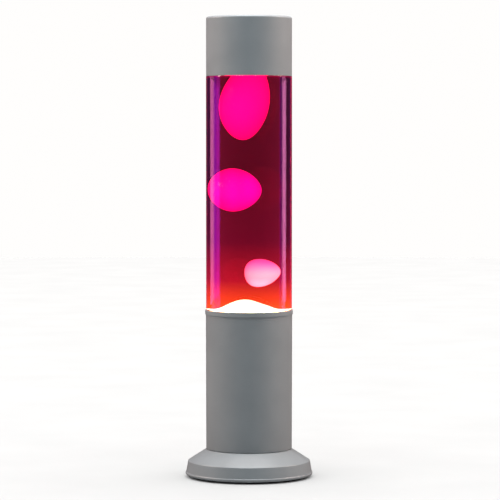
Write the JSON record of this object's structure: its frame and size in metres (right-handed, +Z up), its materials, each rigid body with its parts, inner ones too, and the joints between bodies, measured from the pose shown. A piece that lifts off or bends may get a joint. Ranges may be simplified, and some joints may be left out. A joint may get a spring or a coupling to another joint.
{
  "type": "lava lamp",
  "caption": "Free-standing wax-motion lamp: a straight glass bottle of tinted liquid and glowing wax between a flared metal base and a cup-shaped cap, over a reflector bulb.",
  "frame": {"origin": "centre of the footprint on the table", "axes": "+Z up along the lamp's axis, +Y towards the cord gland in the back, -Y the front"},
  "size_m": [0.1166, 0.1166, 0.421],
  "materials": {
    "housing_paint": "satin",
    "cap_paint": "satin",
    "plate_paint": "matte",
    "bracket_steel": "satin",
    "steel": "satin",
    "brass": "satin",
    "nickel": "satin",
    "tinplate": "satin",
    "solder": "satin",
    "filament": "glowing",
    "phenolic": "gloss",
    "block_plastic": "satin",
    "insert_plastic": "satin",
    "liner_plastic": "matte",
    "lead_brown": "satin",
    "lead_blue": "satin",
    "black_rubber": "matte",
    "black_glass": "gloss",
    "bulb_glass": "frosted",
    "bottle_glass": "clear",
    "red_liquid": "clear, tinted",
    "pink_wax": "glowing wax",
    "pale_wax": "glowing wax",
    "glowing_wax": "glowing wax"
  },
  "bodies": {
    "base": {"base_foot": "housing_paint", "base_housing": "housing_paint", "cord_gland": "black_rubber", "globe_seat_ring": "housing_paint", "seat_gasket": "black_rubber", "bottom_plate": "plate_paint", "bottom_screws": "steel", "rubber_feet": "black_rubber", "bracket_screws": "steel", "housing_screws": "steel", "housing_nuts": "steel", "lampholder_bracket": "bracket_steel", "lampholder_body": "phenolic", "lampholder_sleeve": "brass", "lampholder_contact": "brass", "lampholder_nipple": "steel", "lampholder_nut": "brass", "terminal_block": "block_plastic", "terminal_screws": "brass", "block_screw": "steel", "lead_live": "lead_brown", "lead_neutral": "lead_blue"},
    "bulb": {"bulb_contact": "solder", "bulb_insulator": "black_glass", "bulb_screw_base": "nickel", "bulb_envelope": "bulb_glass", "bulb_stem": "bulb_glass", "bulb_filament": "filament"},
    "globe": {"globe_glass": "bottle_glass", "liquid": "red_liquid", "wax_pool": "glowing_wax", "heating_coil": "steel", "closure_liner": "liner_plastic", "bottle_closure": "tinplate"},
    "wax_upper": {"wax_blob_upper": "pink_wax"},
    "wax_middle": {"wax_blob_middle": "pink_wax"},
    "wax_lower": {"wax_blob_lower": "pale_wax"},
    "cap": {"top_cap": "cap_paint", "top_cap_insert": "insert_plastic"}
  },
  "joints": [
    {"name": "globe_lift", "type": "slide", "parent": "base", "child": "globe", "axis": [0, 0, 1], "range_m": [0, 0.06]},
    {"name": "cap_lift", "type": "slide", "parent": "globe", "child": "cap", "axis": [0, 0, 1], "range_m": [0, 0.06]},
    {"name": "bulb_withdraw", "type": "slide", "parent": "base", "child": "bulb", "axis": [0, 0, 1], "range_m": [0, 0.0141]},
    {"name": "wax_upper_drift", "type": "slide", "parent": "globe", "child": "wax_upper", "axis": [0, 0, 1], "range_m": [-0.013, 0.004], "deforming": ["liquid"]},
    {"name": "wax_middle_drift", "type": "slide", "parent": "globe", "child": "wax_middle", "axis": [0, 0, 1], "range_m": [-0.021, 0.01], "deforming": ["liquid"]},
    {"name": "wax_lower_drift", "type": "slide", "parent": "globe", "child": "wax_lower", "axis": [0, 0, 1], "range_m": [-0.007, 0.019], "deforming": ["liquid"]}
  ]
}
